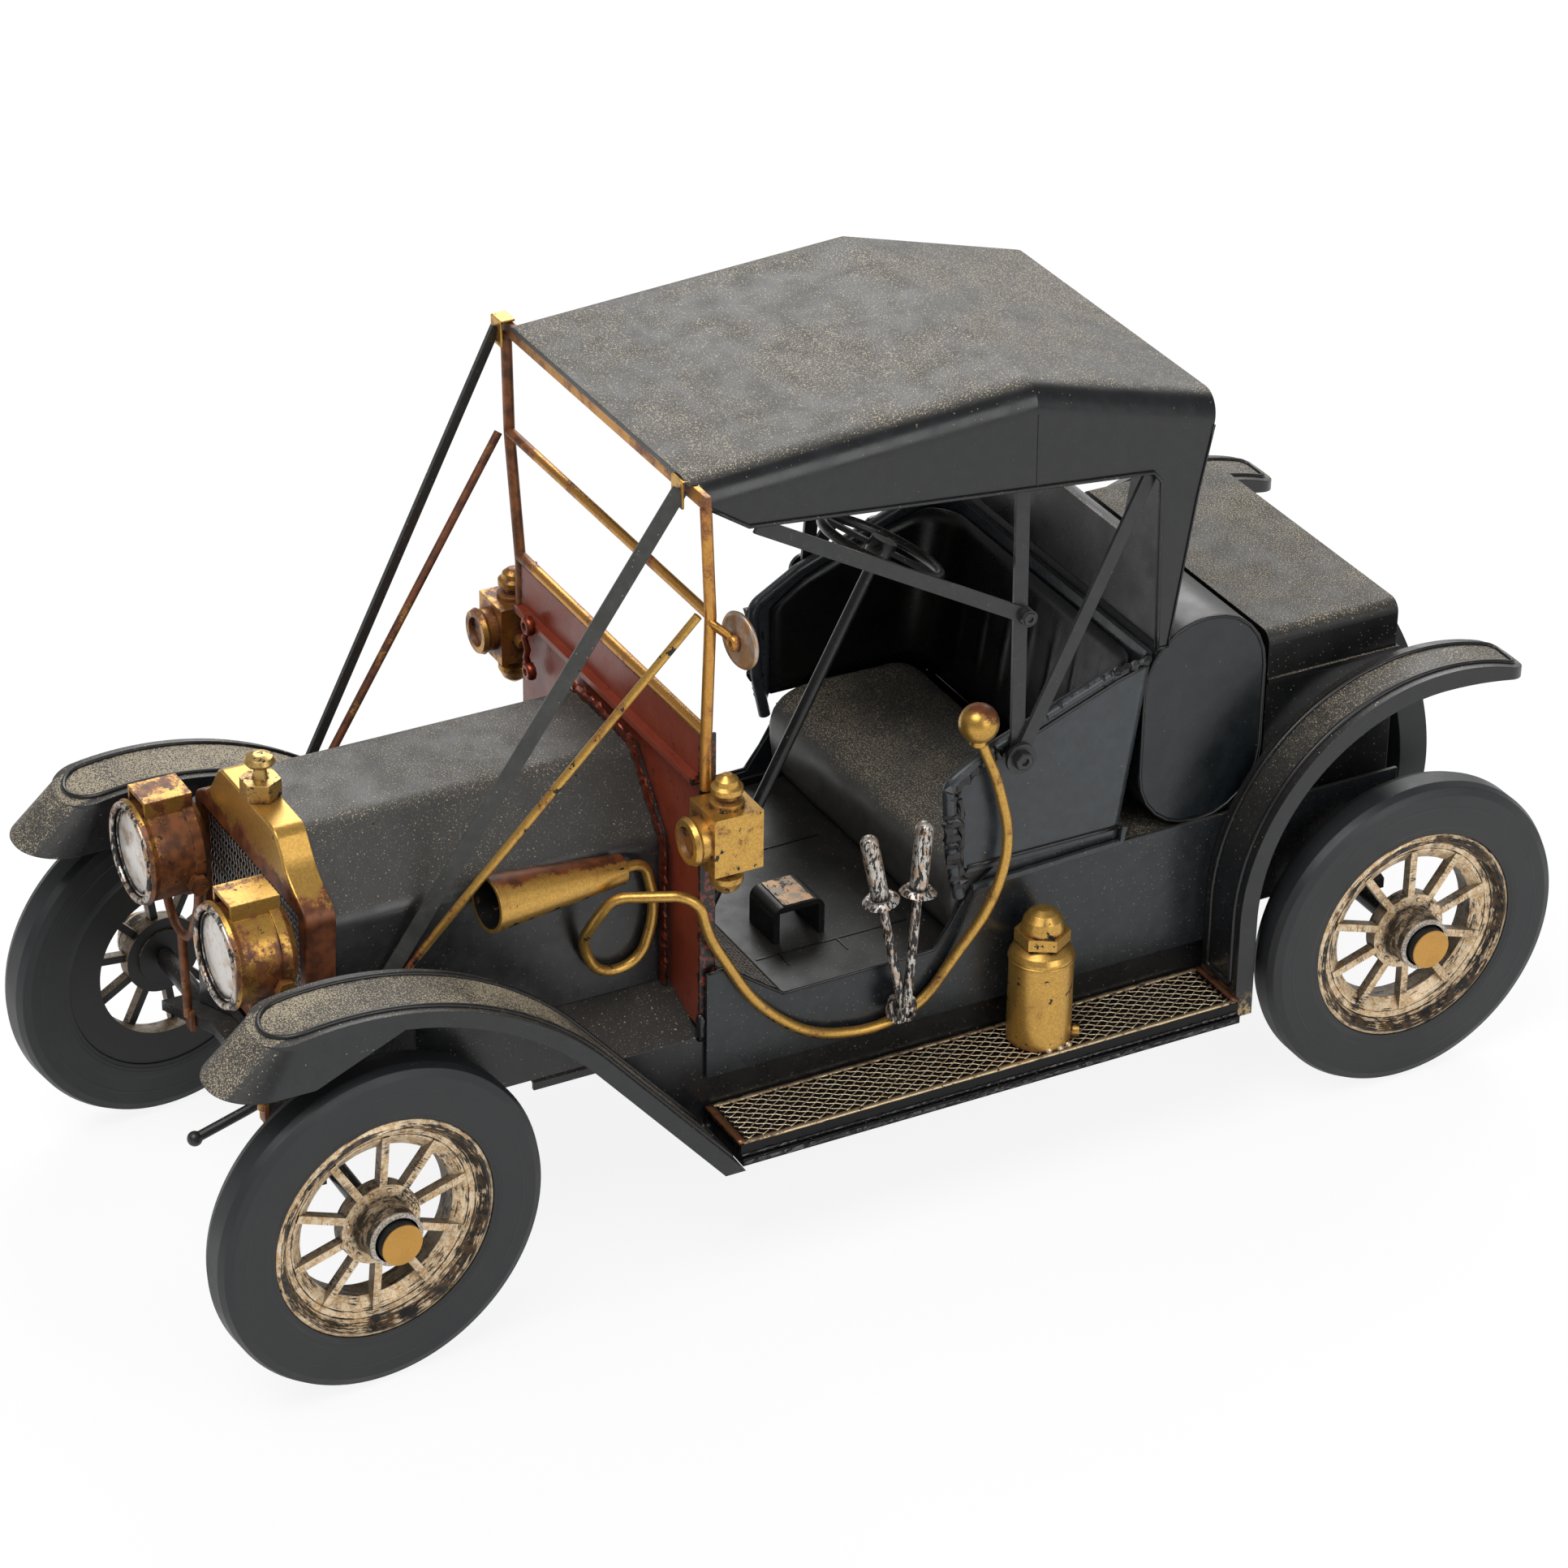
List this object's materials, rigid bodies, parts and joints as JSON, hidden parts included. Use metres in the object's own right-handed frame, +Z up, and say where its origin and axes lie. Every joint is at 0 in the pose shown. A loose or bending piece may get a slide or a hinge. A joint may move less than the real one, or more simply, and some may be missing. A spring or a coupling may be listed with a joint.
{
  "type": "sheet metal model of an antique roadster car",
  "caption": "Hand-made sheet metal model of an early two-seat roadster with its top up, rolling on spoked wheels.",
  "frame": {"origin": "on the ground midway between the axles, at the middle of the car's box", "axes": "+Z up, the car faces -Y, its left side is +X"},
  "size_m": [0.1109, 0.2608, 0.1482],
  "materials": {
    "black_paint": "satin black with gold-brown dust",
    "old_brass": "aged brass with brown patina",
    "red_oxide": "satin red oxide",
    "dry_brushed": "silver-gold dry brushed over black",
    "steel": "bare metal",
    "tyre": "matt dark rubber"
  },
  "bodies": {
    "car_body": {"body_side_left": "black_paint", "body_side_right": "black_paint", "bonnet": "black_paint", "chassis_frame": "black_paint", "fender_front_left": "black_paint", "fender_front_right": "black_paint", "fender_rear_left": "black_paint", "fender_rear_right": "black_paint", "firewall": "red_oxide", "floor_pan": "black_paint", "front_axle": "black_paint", "front_spring": "black_paint", "fuel_tank": "black_paint", "gas_cylinder": "old_brass", "hand_levers": "steel", "headlamp_left": "old_brass", "headlamp_right": "old_brass", "hood_irons": "black_paint", "horn": "old_brass", "horn_bulb": "old_brass", "horn_tube": "old_brass", "pedal_block": "black_paint", "radiator_cap": "old_brass", "radiator_core": "black_paint", "radiator_shell": "old_brass", "rear_axle": "black_paint", "rear_shelf": "black_paint", "rear_spring": "black_paint", "rear_view_mirror": "steel", "roof": "black_paint", "running_board_left": "dry_brushed", "running_board_right": "dry_brushed", "seat_bench": "black_paint", "seat_shell": "black_paint", "side_lamp_left": "old_brass", "side_lamp_right": "old_brass", "sill_left": "black_paint", "sill_right": "black_paint", "spare_rim": "black_paint", "spare_tyre": "tyre", "starting_crank": "black_paint", "stay_rods": "old_brass", "steering_column": "black_paint", "steering_wheel": "black_paint", "straps": "black_paint", "trunk": "black_paint", "windscreen_frame": "old_brass"},
    "wheel_assembly_front_left": {"wheel_front_left": "dry_brushed", "tyre_front_left": "tyre"},
    "wheel_assembly_front_right": {"wheel_front_right": "dry_brushed", "tyre_front_right": "tyre"},
    "wheel_assembly_rear_left": {"wheel_rear_left": "dry_brushed", "tyre_rear_left": "tyre"},
    "wheel_assembly_rear_right": {"wheel_rear_right": "dry_brushed", "tyre_rear_right": "tyre"}
  },
  "joints": [
    {"name": "roll_front_left", "type": "hinge", "parent": "car_body", "child": "wheel_assembly_front_left", "pos_m": [0.0461, -0.1004, 0.03], "axis": [0.9962, 0.0872, 0], "continuous": true},
    {"name": "roll_front_right", "type": "hinge", "parent": "car_body", "child": "wheel_assembly_front_right", "pos_m": [-0.0461, -0.1004, 0.03], "axis": [0.9903, 0.1392, 0], "continuous": true},
    {"name": "roll_rear_left", "type": "hinge", "parent": "car_body", "child": "wheel_assembly_rear_left", "pos_m": [0.0461, 0.1004, 0.03], "axis": [1, 0, 0], "continuous": true},
    {"name": "roll_rear_right", "type": "hinge", "parent": "car_body", "child": "wheel_assembly_rear_right", "pos_m": [-0.0461, 0.1004, 0.03], "axis": [1, 0, 0], "continuous": true}
  ]
}
